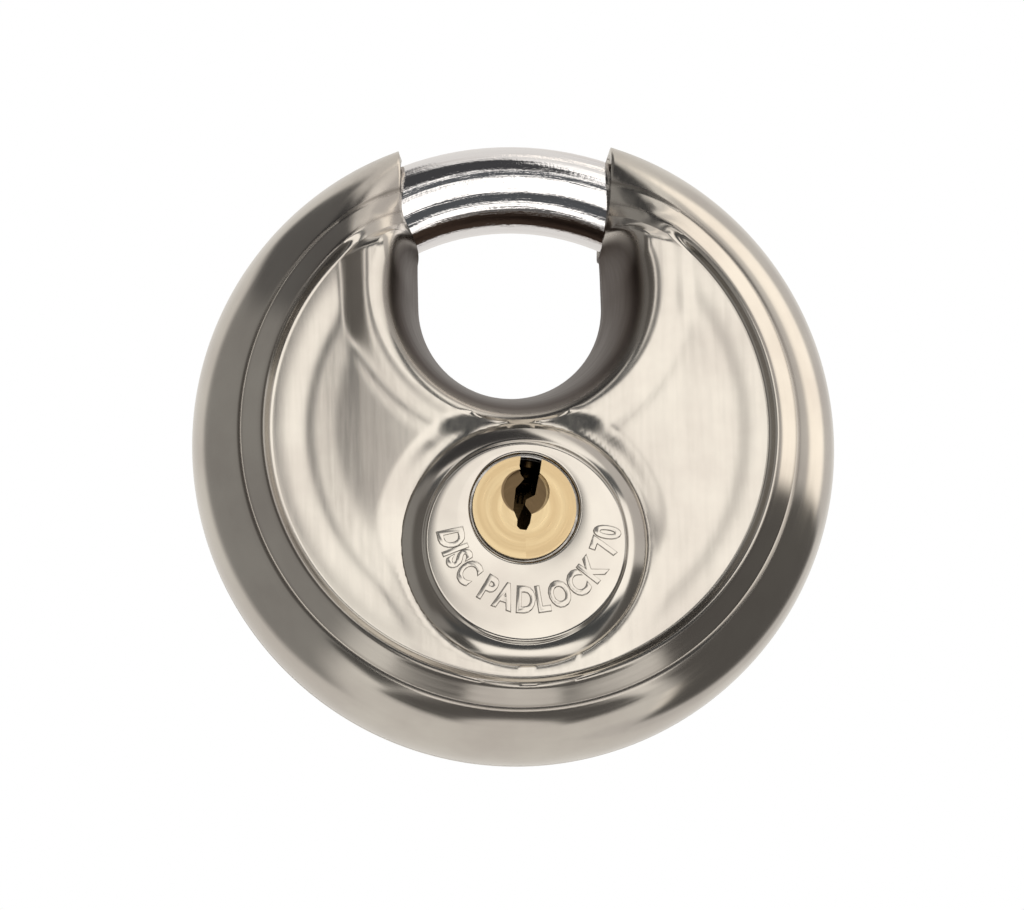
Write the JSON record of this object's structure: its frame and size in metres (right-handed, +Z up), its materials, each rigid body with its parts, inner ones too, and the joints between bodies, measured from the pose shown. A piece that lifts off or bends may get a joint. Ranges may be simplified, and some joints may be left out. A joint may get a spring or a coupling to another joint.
{
  "type": "round shrouded padlock",
  "caption": "Round disc-shaped padlock with two pressed shells, a U-shaped notch, and a short arc shackle that a key in the round boss slides sideways.",
  "frame": {"origin": "on the shackle's underside at the middle of the notch, where the closed lock hangs", "axes": "+Z up towards the shackle, +Y towards the back, +X to the right seen from the keyhole side"},
  "size_m": [0.07, 0.0264, 0.0683],
  "materials": {
    "stainless": "polished pressed stainless steel",
    "chrome": "bright plated hardened steel",
    "brass": "satin turned brass",
    "casting": "raw die casting, standing in for zinc alloy",
    "steel": "plain machined steel"
  },
  "bodies": {
    "body": {"front_shell": "stainless", "rear_shell": "stainless", "inner_body_front": "casting", "inner_body_rear": "casting", "dowel_left": "steel", "dowel_right": "steel", "cylinder_housing": "brass", "housing_screws": "steel", "chamber_cover": "brass", "anti_drill_plate": "steel", "pin_spring_1": "steel", "pin_spring_2": "steel", "pin_spring_3": "steel", "pin_spring_4": "steel"},
    "shackle": {"shackle_bar": "chrome", "shackle_arm": "steel", "arm_rivets": "steel"},
    "cylinder": {"plug": "brass", "tail_cam": "steel", "cam_washer": "steel", "cam_screw": "steel", "crank_pin": "steel", "crank_roller": "steel", "roller_clip": "steel"},
    "key_pins": {"key_pin_1": "brass", "key_pin_2": "brass", "key_pin_3": "brass", "key_pin_4": "brass"},
    "driver_pins": {"driver_pin_1": "steel", "driver_pin_2": "steel", "driver_pin_3": "steel", "driver_pin_4": "steel"}
  },
  "joints": [
    {"name": "shackle_turn", "type": "hinge", "parent": "body", "child": "shackle", "pos_m": [0, 0, -0.0238], "axis": [0, 1, 0], "range_deg": [0, 56.4]},
    {"name": "plug_turn", "type": "hinge", "parent": "body", "child": "cylinder", "pos_m": [0, 0, -0.0327], "axis": [0, 1, 0], "range_deg": [0, 120]},
    {"name": "key_pins_drop", "type": "slide", "parent": "cylinder", "child": "key_pins", "axis": [-0.1564, 0, -0.9877], "range_m": [0, 0.001]},
    {"name": "driver_pins_lift", "type": "slide", "parent": "body", "child": "driver_pins", "axis": [0.1564, 0, 0.9877], "range_m": [0, 0.0008], "stiffness_N_per_m": 150, "springref_m": -0.001, "deforming": ["pin_spring_1", "pin_spring_2", "pin_spring_3", "pin_spring_4"]}
  ],
  "couplings": [
    {"joint": "plug_turn", "follows": "shackle_turn", "ratio": 2.1247}
  ]
}
